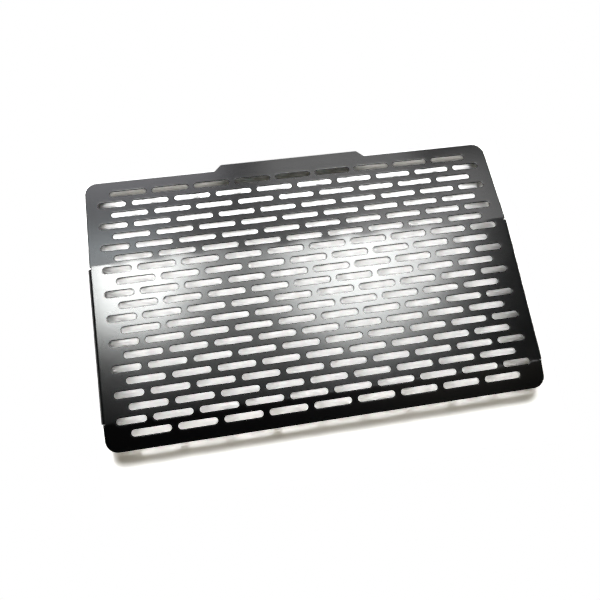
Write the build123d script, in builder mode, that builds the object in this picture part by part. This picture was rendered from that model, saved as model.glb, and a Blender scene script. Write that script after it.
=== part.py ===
"""Radiator guard for a motorcycle: one slotted sheet, folded twice across and once down each side.

Millimetres. X runs across the guard, Y up the sheet from its front edge to its tab, Z up.
The guard lies on the lower edges of its side flanges, with the origin under its middle.
"""

import os
from math import cos, radians, sin, tan

from build123d import *

# Sheet and folds
SHEET = 1.5
FOLD_INSIDE_R = 1.5
UPPER_TILT = 7.5
LOWER_TILT = 10.5

# Slot pattern, in brick bond, with at least the side margin of plain sheet beside each row
SLOT_PITCH = 35.0
ROW_PITCH = 10.0
SLOT_LENGTH = 30.0
SLOT_WIDTH = 5.0
SIDE_MARGIN = 10.0
ROWS = 21
SLOT_END_FLATS = 6
FIXING_ROWS = (2, 12)

# Outline
PANEL_WIDTH = 350.0
LOWER_MARGIN = 13.0
UPPER_MARGIN = 12.0
CORNER_R = 10.0
TAB_WIDTH = 120.0
TAB_HEIGHT = 6.0
TAB_CORNER_R = 3.0

# Fold lines, measured up the sheet from the first row of slots
LOWER_FOLD = 9.0
UPPER_FOLD = 135.0

# Side flanges
FLANGE_DEPTH = 22.0
FLANGE_STEP = 1.5
FLANGE_LOWER_GAP = 0.4
FLANGE_UPPER_GAP = 1.8
FLANGE_CORNER_R = 4.0
RELIEF_WIDTH = 0.8
CUT_PAST = 5.0

# Derived sizes
fold_outside_r = FOLD_INSIDE_R + SHEET
half_width = PANEL_WIDTH / 2
half_overall = half_width + FLANGE_STEP
flange_fold_x = half_overall - fold_outside_r
upper_setback = fold_outside_r * tan(radians(UPPER_TILT / 2))
lower_setback = fold_outside_r * tan(radians(LOWER_TILT / 2))
upper_length = (ROWS - 1) * ROW_PITCH + UPPER_MARGIN - UPPER_FOLD
lower_length = LOWER_FOLD + LOWER_MARGIN
back_y = UPPER_FOLD + (upper_length + TAB_HEIGHT) * cos(radians(UPPER_TILT))
front_y = LOWER_FOLD - lower_length * cos(radians(LOWER_TILT))
first_row_y = -(back_y + front_y) / 2
bridge = SLOT_PITCH - SLOT_LENGTH
full_row_slots = int((PANEL_WIDTH - 2 * SIDE_MARGIN + bridge) // SLOT_PITCH)
end_slot_x = (full_row_slots - 1) * SLOT_PITCH / 2
short_slot_start = end_slot_x + bridge / 2
short_slot_length = half_width - SIDE_MARGIN - short_slot_start
short_slot_x = short_slot_start + short_slot_length / 2
upper_fold_y = first_row_y + UPPER_FOLD
lower_fold_y = first_row_y + LOWER_FOLD
middle_start = LOWER_FOLD + lower_setback
middle_end = UPPER_FOLD - upper_setback
flange_start = middle_start + FLANGE_LOWER_GAP
flange_end = middle_end - FLANGE_UPPER_GAP
flange_length = flange_end - flange_start
flange_mid_y = first_row_y + (flange_start + flange_end) / 2
axis_z = FLANGE_DEPTH - fold_outside_r
tab_foot = TAB_WIDTH / 2 + TAB_HEIGHT

# Upper faces of the three panels, each with its own origin on a fold line or the first row
middle = Plane(origin=(0, first_row_y, FLANGE_DEPTH))
upper = Plane(
    origin=(0, upper_fold_y, FLANGE_DEPTH),
    x_dir=(1, 0, 0),
    z_dir=(0, sin(radians(UPPER_TILT)), cos(radians(UPPER_TILT))),
)
lower = Plane(
    origin=(0, lower_fold_y, FLANGE_DEPTH),
    x_dir=(1, 0, 0),
    z_dir=(0, -sin(radians(LOWER_TILT)), cos(radians(LOWER_TILT))),
)


def vent_slot(length):
    """A slot for air, whose half-round ends are a few flats each so that the many slots stay light."""
    end_r = SLOT_WIDTH / 2
    reach = length / 2 - end_r
    turns = [radians(90 - 180 * i / SLOT_END_FLATS) for i in range(SLOT_END_FLATS + 1)]
    right_end = [(reach + end_r * cos(t), end_r * sin(t)) for t in turns]
    left_end = [(-x, -y) for x, y in right_end]
    Polygon(*right_end, *left_end)


def slot_rows(rows, datum):
    """Slots of the given rows, on a panel whose origin is datum up the sheet from the first row."""
    for row in rows:
        up = row * ROW_PITCH - datum
        short = row % 2 == 1
        fixing = row in FIXING_ROWS
        vents = full_row_slots - (1 if short else 0) - (2 if fixing else 0)
        with Locations((0, up)):
            with GridLocations(SLOT_PITCH, ROW_PITCH, vents, 1):
                vent_slot(SLOT_LENGTH)
        if short:
            with Locations((-short_slot_x, up), (short_slot_x, up)):
                vent_slot(short_slot_length)
        if fixing:
            with Locations((-end_slot_x, up), (end_slot_x, up)):
                SlotOverall(SLOT_LENGTH, SLOT_WIDTH)


with BuildPart() as guard_sheet:
    # Middle panel, between the two cross folds
    with BuildSketch(middle):
        with Locations((0, (middle_start + middle_end) / 2)):
            Rectangle(PANEL_WIDTH, middle_end - middle_start)
    extrude(amount=-SHEET)

    # Upper cross fold
    with BuildSketch(Plane.XZ.offset(-(upper_fold_y - upper_setback))):
        with Locations((0, FLANGE_DEPTH - SHEET / 2)):
            Rectangle(PANEL_WIDTH, SHEET)
    upper_axis = Axis((0, upper_fold_y - upper_setback, axis_z), (-1, 0, 0))
    revolve(axis=upper_axis, revolution_arc=UPPER_TILT)

    # Upper panel, with the tab standing on its edge
    with BuildSketch(upper) as upper_outline:
        with BuildLine():
            Polyline(
                (-half_width, upper_setback),
                (half_width, upper_setback),
                (half_width, upper_length),
                (tab_foot, upper_length),
                (TAB_WIDTH / 2, upper_length + TAB_HEIGHT),
                (-TAB_WIDTH / 2, upper_length + TAB_HEIGHT),
                (-tab_foot, upper_length),
                (-half_width, upper_length),
                close=True,
            )
        make_face()
        edge_points = upper_outline.vertices().filter_by_position(
            Axis.Y, upper_length, upper_length + TAB_HEIGHT
        )
        corners = [v for v in edge_points if abs(v.X) > tab_foot + CORNER_R]
        tab_corners = [v for v in edge_points if abs(v.X) < tab_foot + CORNER_R]
        fillet(corners, radius=CORNER_R)
        fillet(tab_corners, radius=TAB_CORNER_R)
    extrude(amount=-SHEET)

    # Lower cross fold
    with BuildSketch(Plane.XZ.offset(-(lower_fold_y + lower_setback))):
        with Locations((0, FLANGE_DEPTH - SHEET / 2)):
            Rectangle(PANEL_WIDTH, SHEET)
    lower_axis = Axis((0, lower_fold_y + lower_setback, axis_z), (1, 0, 0))
    revolve(axis=lower_axis, revolution_arc=LOWER_TILT)

    # Lower panel
    with BuildSketch(lower) as lower_outline:
        with Locations((0, -(lower_length + lower_setback) / 2)):
            Rectangle(PANEL_WIDTH, lower_length - lower_setback)
        fillet(lower_outline.vertices().group_by(Axis.Y)[0], radius=CORNER_R)
    extrude(amount=-SHEET)

    # Room for the side folds, with a relief notch at both ends of each
    with BuildSketch(middle):
        with Locations((0, (flange_start + flange_end) / 2)):
            with GridLocations(2 * (flange_fold_x + CUT_PAST), ROW_PITCH, 2, 1):
                Rectangle(2 * CUT_PAST, flange_length + 2 * RELIEF_WIDTH)
    extrude(amount=2 * SHEET, both=True, mode=Mode.SUBTRACT)

    # Side flanges, folded down from the middle panel
    for side in (-1, 1):
        with BuildSketch(Plane.YZ.offset(side * flange_fold_x)):
            with Locations((flange_mid_y, FLANGE_DEPTH - SHEET / 2)):
                Rectangle(flange_length, SHEET)
        revolve(
            axis=Axis((side * flange_fold_x, 0, axis_z), (0, side, 0)),
            revolution_arc=90,
        )
        with BuildSketch(Plane.YZ.offset(side * half_overall)) as flange:
            with Locations((flange_mid_y, axis_z / 2)):
                Rectangle(flange_length, axis_z)
            fillet(flange.vertices().group_by(Axis.Y)[0], radius=FLANGE_CORNER_R)
        extrude(amount=-side * SHEET)

    # Slots of the three panels
    lower_rows = [r for r in range(ROWS) if r * ROW_PITCH < LOWER_FOLD]
    upper_rows = [r for r in range(ROWS) if r * ROW_PITCH > UPPER_FOLD]
    middle_rows = [r for r in range(ROWS) if r not in lower_rows + upper_rows]
    for panel, rows, datum in (
        (lower, lower_rows, LOWER_FOLD),
        (middle, middle_rows, 0),
        (upper, upper_rows, UPPER_FOLD),
    ):
        with BuildSketch(panel):
            slot_rows(rows, datum)
        extrude(amount=2 * SHEET, both=True, mode=Mode.SUBTRACT)

os.makedirs("parts", exist_ok=True)
guard_sheet.part.label = "guard_sheet"
export_step(guard_sheet.part, "parts/guard_sheet.step")
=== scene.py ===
"""Looks of the radiator guard: the slotted, folded sheet with its coat's soft edges, on a white floor."""

import math

import bpy
from mathutils import Matrix, Vector
from mathutils.geometry import delaunay_2d_cdt


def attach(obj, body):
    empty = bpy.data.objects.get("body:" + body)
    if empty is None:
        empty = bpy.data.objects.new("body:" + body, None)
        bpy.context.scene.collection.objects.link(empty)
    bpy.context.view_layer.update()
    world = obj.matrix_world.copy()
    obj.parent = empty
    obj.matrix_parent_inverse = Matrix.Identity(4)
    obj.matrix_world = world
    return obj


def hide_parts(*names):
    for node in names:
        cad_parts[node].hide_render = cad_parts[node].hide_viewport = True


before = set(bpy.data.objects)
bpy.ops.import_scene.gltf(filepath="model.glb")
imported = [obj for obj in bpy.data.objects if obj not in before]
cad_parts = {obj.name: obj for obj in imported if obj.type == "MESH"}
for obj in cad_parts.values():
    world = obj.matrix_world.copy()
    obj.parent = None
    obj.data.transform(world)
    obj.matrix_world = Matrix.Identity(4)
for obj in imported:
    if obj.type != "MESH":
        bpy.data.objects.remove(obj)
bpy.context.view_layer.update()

# Sizes of the sheet in millimetres, the same as in the CAD source
SHEET = 1.5
FOLD_R = 3.0
UPPER_TILT = math.radians(7.5)
LOWER_TILT = math.radians(10.5)
SLOT_PITCH = 35.0
ROW_PITCH = 10.0
SLOT_LENGTH = 30.0
SLOT_WIDTH = 5.0
SIDE_MARGIN = 10.0
ROWS = 21
FULL_ROW_SLOTS = 9
HALF_WIDTH = 175.0
LOWER_EDGE = -13.0
UPPER_EDGE = 212.0
CORNER_R = 10.0
TAB_HALF = 60.0
TAB_HEIGHT = 6.0
TAB_CORNER_R = 3.0
LOWER_FOLD = 9.0
UPPER_FOLD = 135.0
FLANGE_DEPTH = 22.0
FLANGE_FOLD_X = 173.5
FLANGE_LOWER_GAP = 0.4
FLANGE_UPPER_GAP = 1.8
FLANGE_CORNER_R = 4.0
RELIEF_WIDTH = 0.8

# Looks of the edges, which the coat rounds
EDGE_R = 0.7
UNDER_EDGE_R = 0.3
COAT = 0.1
RELIEF_INNER_R = 0.3
RELIEF_OUTER_R = 0.8

# Softness of the cross folds: half the width of each bend, and how far out and over which run it turns sharp
UPPER_BEND = 6.5
UPPER_END = 163.0
UPPER_FADE = 12.0
LOWER_BEND = 2.2
LOWER_END = 172.5
LOWER_FADE = 3.0
SHARP_BEND = 0.2

# Twist of the lands between the slots at the upper fold: its slope, and how far it reaches from the fold
TWIST = 0.030
TWIST_REACH = 4.75

# Steps of the mesh round edges, corners and folds
EDGE_STEPS = 3
ROUND_STEPS = 16
CORNER_STEPS = 12
TAB_STEPS = 6
NOTCH_STEPS = 4
FOLD_STEPS = 8
SIDE_STEPS = 10
FINE_STEPS = 120
COARSE_STEPS = 36
SLOPE_STEP = 0.02
MERGE = 1e-6
MM = 0.001

# Points of the mesh on the bends, in distances from the folds: lines along them, and places on the lands
# between the slots. Then half the run of points across a land, and the gap from a line's ends to the flanges
UPPER_LINES = (-1.4, -0.7, 0.0, 0.7, 1.4)
LOWER_LINES = (-2.9, 4.8)
UPPER_LANDS = (3.2, 4.2, 5.2, 6.2, 7.2)
LOWER_LANDS = (-1.8, -1.35, -0.9, -0.45, 0.0, 0.45, 0.9, 1.35, 1.8)
LAND_RUN = 1.3
LINE_GAP = 1.0

# Coat: colour, roughness over the range of its haze, heights of the orange peel and of its grain in metres
COAT_COLOUR = (0.001, 0.001, 0.0011, 1)
COAT_HAZE = (0.3, 0.7)
COAT_ROUGHNESS = (0.175, 0.205)
PEEL_HEIGHT = 0.000006
GRAIN_HEIGHT = 0.0000015

# Floor in metres: the part that shows shadows, the width of its soft border, and where plain white takes over
SHADED = (("X", -0.178, 0.190), ("Y", -0.150, 0.112))
SHADED_BORDER = 0.004
WHITE_FROM = 0.34
WHITE_AT = 0.6
FLOOR_REACH = 3.0
FLOOR_GAP = 0.0001

# How bright the floor is under its lamps to the camera, in the coat's gloss, and as it lights the sheet
TABLE = 2.7
TABLE_IN_GLOSS = 0.95
TABLE_BOUNCE = 0.4
# Light from all round, and how far up a direction points where the backdrop starts and ends fading into it
SKY = 0.005
WALL_LOW = 0.12
WALL_HIGH = 0.3
# Watts per square metre of lamp and unit of radiance
LAMP_WATTS = math.pi

# Derived places on the flat sheet, measured up from the first row of slots
lower_setback = FOLD_R * math.tan(LOWER_TILT / 2)
upper_setback = FOLD_R * math.tan(UPPER_TILT / 2)
flange_start = LOWER_FOLD + lower_setback + FLANGE_LOWER_GAP
flange_end = UPPER_FOLD - upper_setback - FLANGE_UPPER_GAP
flange_arc = FOLD_R * math.pi / 2
flange_tip = FLANGE_FOLD_X + flange_arc + FLANGE_DEPTH - FOLD_R
tab_top = UPPER_EDGE + TAB_HEIGHT
back_y = UPPER_FOLD + (tab_top - UPPER_FOLD) * math.cos(UPPER_TILT)
front_y = LOWER_FOLD - (LOWER_FOLD - LOWER_EDGE) * math.cos(LOWER_TILT)
first_row_y = -(back_y + front_y) / 2
flange_lines = [FLANGE_FOLD_X + flange_arc * i / FOLD_STEPS for i in range(FOLD_STEPS + 1)]


def beyond(run, half):
    """How much of a run across a fold lies beyond it, where the bend reaches half its width to both sides."""
    share = min(max((run + half) / (2 * half), 0), 1)
    return 2 * half * (share ** 3 - share ** 4 / 2) + max(run - half, 0)


def panel_point(x, s):
    """Point of the outer face of the three panels for a place on the flat sheet."""
    free = min(max((UPPER_END - abs(x)) / UPPER_FADE, 0), 1)
    loose = min(max((LOWER_END - abs(x)) / LOWER_FADE, 0), 1)
    past = s - UPPER_FOLD
    upper = beyond(past, SHARP_BEND + (UPPER_BEND - SHARP_BEND) * free)
    lower = beyond(LOWER_FOLD - s, SHARP_BEND + (LOWER_BEND - SHARP_BEND) * loose)
    wave = TWIST * free * math.cos(2 * math.pi * x / SLOT_PITCH)
    y = first_row_y + s - (1 - math.cos(UPPER_TILT)) * upper + (1 - math.cos(LOWER_TILT)) * lower
    z = FLANGE_DEPTH - math.sin(UPPER_TILT) * upper - math.sin(LOWER_TILT) * lower
    return Vector((x, y, z + wave * past * math.exp(-((past / TWIST_REACH) ** 2))))


def folded(x, s):
    """Point of the folded sheet's outer face for a place on the flat one, with its three directions."""
    if abs(x) > FLANGE_FOLD_X and flange_start - EDGE_R < s < flange_end + EDGE_R:
        side = math.copysign(1, x)
        run = abs(x) - FLANGE_FOLD_X
        turn = min(run / FOLD_R, math.pi / 2)
        past = max(run - flange_arc, 0)
        out = Vector((side * math.sin(turn), 0, math.cos(turn)))
        across = Vector((math.cos(turn), 0, -side * math.sin(turn)))
        hinge = Vector((side * FLANGE_FOLD_X, first_row_y + s, FLANGE_DEPTH - FOLD_R))
        return hinge + FOLD_R * out + past * side * across, across, Vector((0, 1, 0)), out
    across = (panel_point(x + SLOPE_STEP, s) - panel_point(x - SLOPE_STEP, s)).normalized()
    up = (panel_point(x, s + SLOPE_STEP) - panel_point(x, s - SLOPE_STEP)).normalized()
    return panel_point(x, s), across, up, across.cross(up).normalized()


def right_of(d):
    """Direction to the right of a direction of travel on the flat sheet."""
    return Vector((d.y, -d.x))


def rounded_loop(corners):
    """Closed line round the sheet, as points with the direction off the sheet. Corners may have no radius."""
    points = [Vector(c[:2]) for c in corners]
    loop = []
    for i, corner in enumerate(corners):
        here = points[i]
        came = (here - points[i - 1]).normalized()
        goes = (points[(i + 1) % len(points)] - here).normalized()
        if corner[2] == 0:
            loop.append((here, right_of(goes)))
            continue
        radius, steps = corner[2], corner[3]
        turn = math.atan2(came.x * goes.y - came.y * goes.x, came.dot(goes))
        sign = math.copysign(1, turn)
        start = here - came * radius * math.tan(abs(turn) / 2)
        centre = start - sign * radius * right_of(came)
        for k in range(steps + 1):
            away = Matrix.Rotation(turn * k / steps, 2) @ right_of(came)
            loop.append((centre + sign * radius * away, away))
    return loop


def outline():
    """Edge of the flat sheet with its tab, relief notches and unfolded flanges."""
    notch_inner = (RELIEF_INNER_R, NOTCH_STEPS)
    notch_outer = (RELIEF_OUTER_R, NOTCH_STEPS)
    low, high = flange_start - RELIEF_WIDTH, flange_end + RELIEF_WIDTH
    right = [(HALF_WIDTH, LOWER_EDGE, CORNER_R, CORNER_STEPS), (HALF_WIDTH, low, *notch_outer)]
    right += [(FLANGE_FOLD_X, low, *notch_inner), (FLANGE_FOLD_X, flange_start, *notch_inner)]
    right += [(x, flange_start, 0, 0) for x in flange_lines[1:]]
    right += [(flange_tip, flange_start, FLANGE_CORNER_R, CORNER_STEPS)]
    right += [(flange_tip, flange_end, FLANGE_CORNER_R, CORNER_STEPS)]
    right += [(x, flange_end, 0, 0) for x in reversed(flange_lines[1:])]
    right += [(FLANGE_FOLD_X, flange_end, *notch_inner), (FLANGE_FOLD_X, high, *notch_inner)]
    right += [(HALF_WIDTH, high, *notch_outer), (HALF_WIDTH, UPPER_FOLD + 2 * SHARP_BEND, 0, 0)]
    right += [(HALF_WIDTH, UPPER_EDGE, CORNER_R, CORNER_STEPS)]
    right += [(TAB_HALF + TAB_HEIGHT, UPPER_EDGE, TAB_CORNER_R, TAB_STEPS)]
    right += [(TAB_HALF, tab_top, TAB_CORNER_R, TAB_STEPS)]
    left = [(-x, s, r, n) for x, s, r, n in reversed(right)]
    return rounded_loop(right + left)


def slot(x, s, length, side_steps):
    """Edge of one slot with round ends, as points with the direction into the slot."""
    reach = (length - SLOT_WIDTH) / 2
    end_r = SLOT_WIDTH / 2 - COAT
    loop = []
    for side in (1, -1):
        for k in range(ROUND_STEPS + 1):
            turn = side * math.pi / 2 - math.pi * k / ROUND_STEPS
            away = Vector((math.cos(turn), math.sin(turn)))
            loop.append((Vector((x + side * reach, s)) + away * end_r, -away))
        for k in range(1, side_steps):
            along = side * reach * (1 - 2 * k / side_steps)
            loop.append((Vector((x + along, s - side * end_r)), Vector((0, side))))
    return loop


def slots():
    """All slots, in brick bond: full rows, and rows with a short slot at both ends."""
    loops = []
    start = (FULL_ROW_SLOTS - 1) * SLOT_PITCH / 2 + (SLOT_PITCH - SLOT_LENGTH) / 2
    end = HALF_WIDTH - SIDE_MARGIN
    for row in range(ROWS):
        s = row * ROW_PITCH
        full = FULL_ROW_SLOTS - row % 2
        steps = SIDE_STEPS if abs(s - UPPER_FOLD) < ROW_PITCH else 1
        for i in range(full):
            loops.append(slot((i - (full - 1) / 2) * SLOT_PITCH, s, SLOT_LENGTH, steps))
        if row % 2:
            loops.append(slot(-(start + end) / 2, s, end - start, steps))
            loops.append(slot((start + end) / 2, s, end - start, steps))
    return loops


def edge_rings():
    """Rings round an edge, from the outer face to the inner one: turn of the normal, distance in, depth."""
    turns = [math.pi / 2 * k / EDGE_STEPS for k in range(EDGE_STEPS + 1)]
    over = [(t, EDGE_R * (1 - math.sin(t)), EDGE_R * (1 - math.cos(t))) for t in turns]
    under = [
        (math.pi - t, UNDER_EDGE_R * (1 - math.sin(t)), SHEET - UNDER_EDGE_R * (1 - math.cos(t)))
        for t in reversed(turns)
    ]
    return over + under


def fold_points():
    """Runs of points on the plain sheet where it bends, so that the mesh follows the bends."""
    runs = []
    half = FLANGE_FOLD_X - LINE_GAP
    lines = [(UPPER_FOLD + past, FINE_STEPS) for past in UPPER_LINES]
    lines += [(LOWER_FOLD + past, COARSE_STEPS) for past in LOWER_LINES]
    for s, steps in lines:
        runs.append([Vector(((2 * i / steps - 1) * half, s)) for i in range(steps + 1)])
    end_land = HALF_WIDTH - (HALF_WIDTH - FLANGE_FOLD_X + SIDE_MARGIN) / 2
    odd_lands = [(i - (FULL_ROW_SLOTS - 1) / 2) * SLOT_PITCH for i in range(FULL_ROW_SLOTS)]
    even_lands = [(i - FULL_ROW_SLOTS / 2) * SLOT_PITCH for i in range(FULL_ROW_SLOTS + 1)]
    odd_places = [LOWER_FOLD + past for past in LOWER_LANDS] + [UPPER_FOLD - past for past in UPPER_LANDS]
    even_places = [UPPER_FOLD + past for past in UPPER_LANDS]
    for lands, places in ((odd_lands, odd_places), (even_lands, even_places)):
        for s in places:
            for x in lands + [-end_land, end_land]:
                runs.append([Vector((x + d, s)) for d in (-LAND_RUN, 0, LAND_RUN)])
    low, high = flange_start + 2 * EDGE_R, flange_end - 2 * EDGE_R
    for side in (-1, 1):
        for x in flange_lines:
            run = [low + (high - low) * i / COARSE_STEPS for i in range(COARSE_STEPS + 1)]
            runs.append([Vector((side * x, s)) for s in run])
    return runs


def inside(point, loop):
    """Whether a place on the flat sheet lies inside a closed line."""
    hit = False
    for a, b in zip(loop, loop[1:] + loop[:1]):
        if (a.y > point.y) != (b.y > point.y):
            if point.x < a.x + (point.y - a.y) * (b.x - a.x) / (b.y - a.y):
                hit = not hit
    return hit


def sheet_mesh(name):
    """Closed mesh of the folded sheet, with normals that follow its true faces, folds and edges."""
    places, normals, faces = [], [], []

    def add(flat, depth, turn, away):
        point, across, up, out = folded(flat.x, flat.y)
        places.append((point - depth * out) * MM)
        normals.append(math.cos(turn) * out + math.sin(turn) * (away.x * across + away.y * up))
        return len(places) - 1

    border = outline()
    rings = edge_rings()
    flat, links, owner, outer, inner = [], [], [], [], []
    for number, loop in enumerate([border] + slots()):
        ids = [[add(p - inset * h, depth, turn, h) for p, h in loop] for turn, inset, depth in rings]
        count = len(loop)
        for upper, lower in zip(ids, ids[1:]):
            for i in range(count):
                j = (i + 1) % count
                faces.append((upper[i], lower[i], lower[j], upper[j]))
        first = len(flat)
        flat += [p - EDGE_R * h for p, h in loop]
        links += [(first + i, first + (i + 1) % count) for i in range(count)]
        owner += [number] * count
        outer += ids[0]
        inner += ids[-1]
    still = Vector((0, 0))
    for run in fold_points():
        first = len(flat)
        flat += run
        links += [(first + i, first + i + 1) for i in range(len(run) - 1)]
        owner += [None] * len(run)
        outer += [add(p, 0, 0, still) for p in run]
        inner += [add(p, SHEET, math.pi, still) for p in run]

    rim = [p - EDGE_R * h for p, h in border]
    _, _, tris, sources, _, _ = delaunay_2d_cdt(flat, links, [], 0, MERGE, True)
    for tri in tris:
        ids = [sources[v][0] for v in tri]
        a, b, c = (flat[v] for v in ids)
        owners = {owner[v] for v in ids}
        if len(owners) == 1 and None not in owners:
            if owners != {0} or not inside((a + b + c) / 3, rim):
                continue
        if (b - a).cross(c - a) < 0:
            ids.reverse()
        faces.append([outer[v] for v in ids])
        faces.append([inner[v] for v in reversed(ids)])
    mesh = bpy.data.meshes.new(name)
    mesh.from_pydata(places, [], faces)
    mesh.shade_smooth()
    mesh.normals_split_custom_set_from_vertices(normals)
    return mesh


def node(tree, kind, **sockets):
    """A shader node with values set on its inputs."""
    made = tree.nodes.new(kind)
    for name, value in sockets.items():
        made.inputs[name.replace("_", " ")].default_value = value
    return made


def join(tree, operation, a, b):
    """Socket with the result of a calculation on two others, of which the second may be a number."""
    made = tree.nodes.new("ShaderNodeMath")
    made.operation = operation
    tree.links.new(a, made.inputs[0])
    if isinstance(b, float):
        made.inputs[1].default_value = b
    else:
        tree.links.new(b, made.inputs[1])
    return made.outputs["Value"]


def ramp(tree, value, start, end, low=0.0, high=1.0):
    """Socket that goes from low to high while another goes from start to end."""
    made = node(tree, "ShaderNodeMapRange", From_Min=start, From_Max=end, To_Min=low, To_Max=high)
    tree.links.new(value, made.inputs["Value"])
    return made.outputs["Result"]


def coat_material(name):
    """Satin black powder coat: a fine orange peel and small changes of gloss."""
    material = bpy.data.materials.new(name)
    material.use_nodes = True
    tree = material.node_tree
    shader = tree.nodes["Principled BSDF"]
    shader.inputs["Base Color"].default_value = COAT_COLOUR
    shader.inputs["IOR"].default_value = 1.5
    shader.inputs["Specular IOR Level"].default_value = 1.0
    place = tree.nodes.new("ShaderNodeTexCoord")
    peel = node(tree, "ShaderNodeTexNoise", Scale=520.0, Detail=2.0, Roughness=0.5)
    grain = node(tree, "ShaderNodeTexNoise", Scale=2400.0, Detail=1.0, Roughness=0.5)
    haze = node(tree, "ShaderNodeTexNoise", Scale=26.0, Detail=4.0, Roughness=0.6)
    for texture in (peel, grain, haze):
        tree.links.new(place.outputs["Object"], texture.inputs["Vector"])
    gloss = ramp(tree, haze.outputs["Fac"], *COAT_HAZE, *COAT_ROUGHNESS)
    tree.links.new(gloss, shader.inputs["Roughness"])
    soft = node(tree, "ShaderNodeBump", Strength=1.0, Distance=PEEL_HEIGHT)
    fine = node(tree, "ShaderNodeBump", Strength=1.0, Distance=GRAIN_HEIGHT)
    tree.links.new(peel.outputs["Fac"], soft.inputs["Height"])
    tree.links.new(grain.outputs["Fac"], fine.inputs["Height"])
    tree.links.new(soft.outputs["Normal"], fine.inputs["Normal"])
    tree.links.new(fine.outputs["Normal"], shader.inputs["Normal"])
    return material


def floor_material(name):
    """White floor with the shadows: an overexposed table to the camera, pale in gloss, white far off."""
    material = bpy.data.materials.new(name)
    material.use_nodes = True
    tree = material.node_tree
    tree.nodes.remove(tree.nodes["Principled BSDF"])
    plain, pale, bright = [
        node(tree, "ShaderNodeBsdfDiffuse", Color=(grey, grey, grey, 1)).outputs["BSDF"]
        for grey in (TABLE_BOUNCE, TABLE_IN_GLOSS, TABLE)
    ]
    white = node(tree, "ShaderNodeEmission", Color=(1, 1, 1, 1), Strength=1.0).outputs["Emission"]
    path = tree.nodes.new("ShaderNodeLightPath").outputs
    place = tree.nodes.new("ShaderNodeTexCoord").outputs["Object"]
    reach = tree.nodes.new("ShaderNodeVectorMath")
    reach.operation = "LENGTH"
    tree.links.new(place, reach.inputs[0])
    far = ramp(tree, reach.outputs["Value"], WHITE_FROM, WHITE_AT)
    spot = tree.nodes.new("ShaderNodeSeparateXYZ")
    tree.links.new(place, spot.inputs["Vector"])

    def blend(share, a, b):
        made = tree.nodes.new("ShaderNodeMixShader")
        for socket, value in zip(made.inputs, (share, a, b)):
            tree.links.new(value, socket)
        return made.outputs["Shader"]

    direct = join(tree, "MAXIMUM", path["Is Camera Ray"], path["Is Transmission Ray"])
    first_bounce = join(tree, "LESS_THAN", path["Diffuse Depth"], 0.5)
    mirrored = join(tree, "MULTIPLY", path["Is Glossy Ray"], first_bounce)
    under = None
    for axis, low, high in SHADED:
        for start, end in ((low - SHADED_BORDER, low), (high + SHADED_BORDER, high)):
            edge = ramp(tree, spot.outputs[axis], start, end)
            under = join(tree, "MULTIPLY", under, edge) if under else edge
    near = blend(direct, blend(mirrored, plain, pale), blend(under, white, bright))
    away = join(tree, "MULTIPLY", far, join(tree, "MAXIMUM", direct, mirrored))
    tree.links.new(blend(away, near, white), tree.nodes["Material Output"].inputs["Surface"])
    return material


def studio(name):
    """Surroundings: white to the camera, and in gloss a white backdrop low down under a dark ceiling."""
    world = bpy.data.worlds.new(name)
    world.use_nodes = True
    tree = world.node_tree
    sky = tree.nodes["Background"]
    sky.inputs["Color"].default_value = (1, 1, 1, 1)
    path = tree.nodes.new("ShaderNodeLightPath").outputs
    way = tree.nodes.new("ShaderNodeTexCoord").outputs["Generated"]
    split = tree.nodes.new("ShaderNodeSeparateXYZ")
    tree.links.new(way, split.inputs["Vector"])
    wall = ramp(tree, split.outputs["Z"], WALL_LOW, WALL_HIGH, 1.0, SKY)
    clear = join(tree, "MAXIMUM", path["Is Camera Ray"], path["Is Transmission Ray"])
    mirrored = join(tree, "MULTIPLY", path["Is Glossy Ray"], wall)
    seen = join(tree, "MAXIMUM", clear, mirrored)
    tree.links.new(join(tree, "MAXIMUM", seen, SKY), sky.inputs["Strength"])
    return world


def lamp(name, place, size, radiance, tint=(1, 1, 1), aim=None):
    """Rectangular soft lamp in metres, that faces a point or straight down."""
    light = bpy.data.lights.new(name, "AREA")
    light.shape = "RECTANGLE"
    light.size, light.size_y = size
    light.energy = radiance * size[0] * size[1] * LAMP_WATTS
    light.color = tint
    back = (Vector(place) - Vector(aim)).normalized() if aim else Vector((0, 0, 1))
    across = Vector((0, 1, 0)).cross(back).normalized()
    turned = Matrix((across, back.cross(across), back)).transposed().to_4x4()
    holder = bpy.data.objects.new(name, light)
    holder.matrix_world = Matrix.Translation(place) @ turned
    holder.visible_camera = False
    bpy.context.scene.collection.objects.link(holder)
    return holder


# Coated sheet
sheet = bpy.data.objects.new("coated_sheet", sheet_mesh("coated_sheet"))
bpy.context.scene.collection.objects.link(sheet)
sheet.data.materials.append(coat_material("black_coat"))
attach(sheet, "root")
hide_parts("guard_sheet")

# Floor
ground = bpy.data.meshes.new("floor")
corners = [(x * FLOOR_REACH, y * FLOOR_REACH, 0) for x, y in ((-1, -1), (1, -1), (1, 1), (-1, 1))]
ground.from_pydata(corners, [], [(0, 1, 2, 3)])
floor = bpy.data.objects.new("floor", ground)
floor.location.z = -FLOOR_GAP
bpy.context.scene.collection.objects.link(floor)
ground.materials.append(floor_material("white_floor"))

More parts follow.
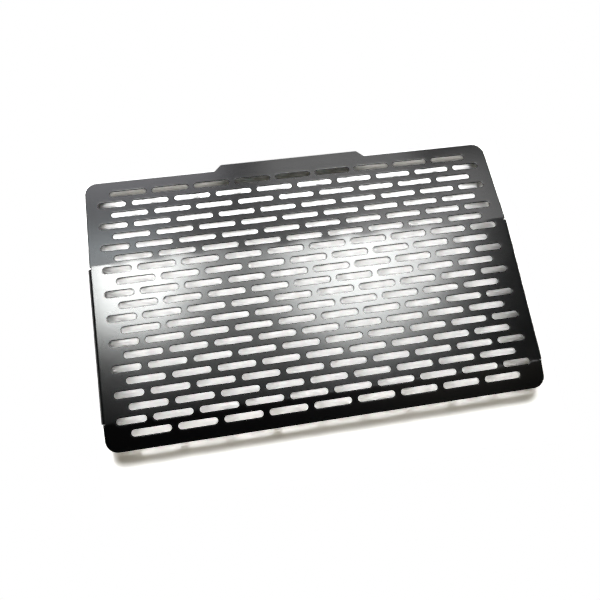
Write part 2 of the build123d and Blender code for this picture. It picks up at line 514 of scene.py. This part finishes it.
# Lamps that light the table and cast its shadows
AIM = (0.0, -0.0023, 0.022)
TABLE_WARM = (1.0, 0.97, 0.90)
FRONT_WARM = (1.0, 0.88, 0.60)
table_lamps = (
    lamp("table_left", (-0.2448, 0.2096, 0.5458), (0.267, 0.229), 7.47, aim=AIM),
    lamp("table_left_core", (-0.2384, 0.2650, 0.5300), (0.054, 0.064), 75.0, aim=AIM),
    lamp("table_right", (0.1597, 0.1886, 0.5975), (0.394, 0.324), 3.43, aim=AIM),
    lamp("table_right_core", (0.2120, 0.2055, 0.5800), (0.118, 0.118), 18.9, aim=AIM),
    lamp("table_back", (0.031, 0.5207, 0.582), (0.840, 0.315), 1.07, TABLE_WARM, AIM),
    lamp("table_front", (0.0, -0.702, 0.522), (0.8, 0.5), 0.50, FRONT_WARM, AIM),
)
for holder in table_lamps:
    holder.visible_glossy = False

# Lamps that show in the coat: glows over both back corners and between them, soft ones behind, a line for
# the lower fold and faint warm ones in front. Those that overlap hang at different heights, because in one
# plane they would hide each other
WARM = (1.0, 0.94, 0.75)
GREENISH = (0.975, 1.0, 0.985)
BLUISH = (0.945, 0.94, 1.0)
COOL = (0.84, 0.94, 1.0)
coat_lamps = (
    lamp("glow_left", (-0.1725, 0.2637, 0.582), (0.190, 0.182), 6.729, GREENISH, AIM),
    lamp("glow_left_2", (-0.2053, 0.2076, 0.606), (0.140, 0.163), 13.6, GREENISH),
    lamp("glow_left_3", (-0.1371, 0.1710, 0.614), (0.290, 0.197), 0.6213, GREENISH),
    lamp("glow_middle", (0.0010, 0.2160, 0.598), (0.180, 0.160), 1.437, GREENISH),
    lamp("glow_right", (0.1668, 0.1792, 0.582), (0.299, 0.128), 3.81, GREENISH, AIM),
    lamp("glow_right_2", (0.1768, 0.1711, 0.606), (0.123, 0.241), 5.07, GREENISH),
    lamp("glow_right_3", (0.1878, 0.2116, 0.614), (0.247, 0.265), 5.553, GREENISH),
    lamp("glow_low", (0.0659, 0.0644, 0.622), (0.586, 0.119), 0.3188, GREENISH),
    lamp("back_1", (-0.1989, 0.6938, 0.582), (0.354, 0.255), 2.397, BLUISH),
    lamp("back_2", (0.1980, 0.6194, 0.582), (0.320, 0.170), 1.846),
    lamp("back_3", (-0.0600, 0.4021, 0.582), (0.946, 0.263), 0.6797),
    lamp("back_4", (0.2821, 0.3078, 0.590), (0.186, 0.316), 2.778),
    lamp("back_5", (-0.2535, 0.4569, 0.590), (0.215, 0.064), 4.073, COOL),
    lamp("back_6", (0.4606, 0.4609, 0.590), (0.123, 0.269), 1.645),
    lamp("fold_line", (0.260, -0.122, 0.590), (0.480, 0.022), 4.75),
    lamp("glow_front_1", (0.3422, -0.1984, 0.582), (0.277, 0.101), 0.1001, WARM),
    lamp("glow_front_2", (0.2847, -0.2052, 0.590), (0.215, 0.124), 0.05374, WARM),
)
for holder in coat_lamps:
    holder.visible_diffuse = False

# Surroundings
bpy.context.scene.world = studio("studio")

# Camera at the photograph's viewpoint
IMAGE_SIDE = 600
FOCAL_PIXELS = 684.16
SENSOR = 36.0
CAMERA_PLACE = (-0.08566, -0.15869, 0.55017)
VIEW_X = (0.982791, -0.159764, 0.092727)
VIEW_Y = (0.129126, 0.953130, 0.273624)
VIEW_Z = (-0.132096, -0.256942, 0.957357)
camera = bpy.data.objects.new("camera", bpy.data.cameras.new("camera"))
camera.data.sensor_width = SENSOR
camera.data.lens = FOCAL_PIXELS / IMAGE_SIDE * SENSOR
turned = Matrix((VIEW_X, VIEW_Y, VIEW_Z)).transposed().to_4x4()
camera.matrix_world = Matrix.Translation(CAMERA_PLACE) @ turned
bpy.context.scene.collection.objects.link(camera)
bpy.context.scene.camera = camera
bpy.context.scene.view_settings.view_transform = "Standard"
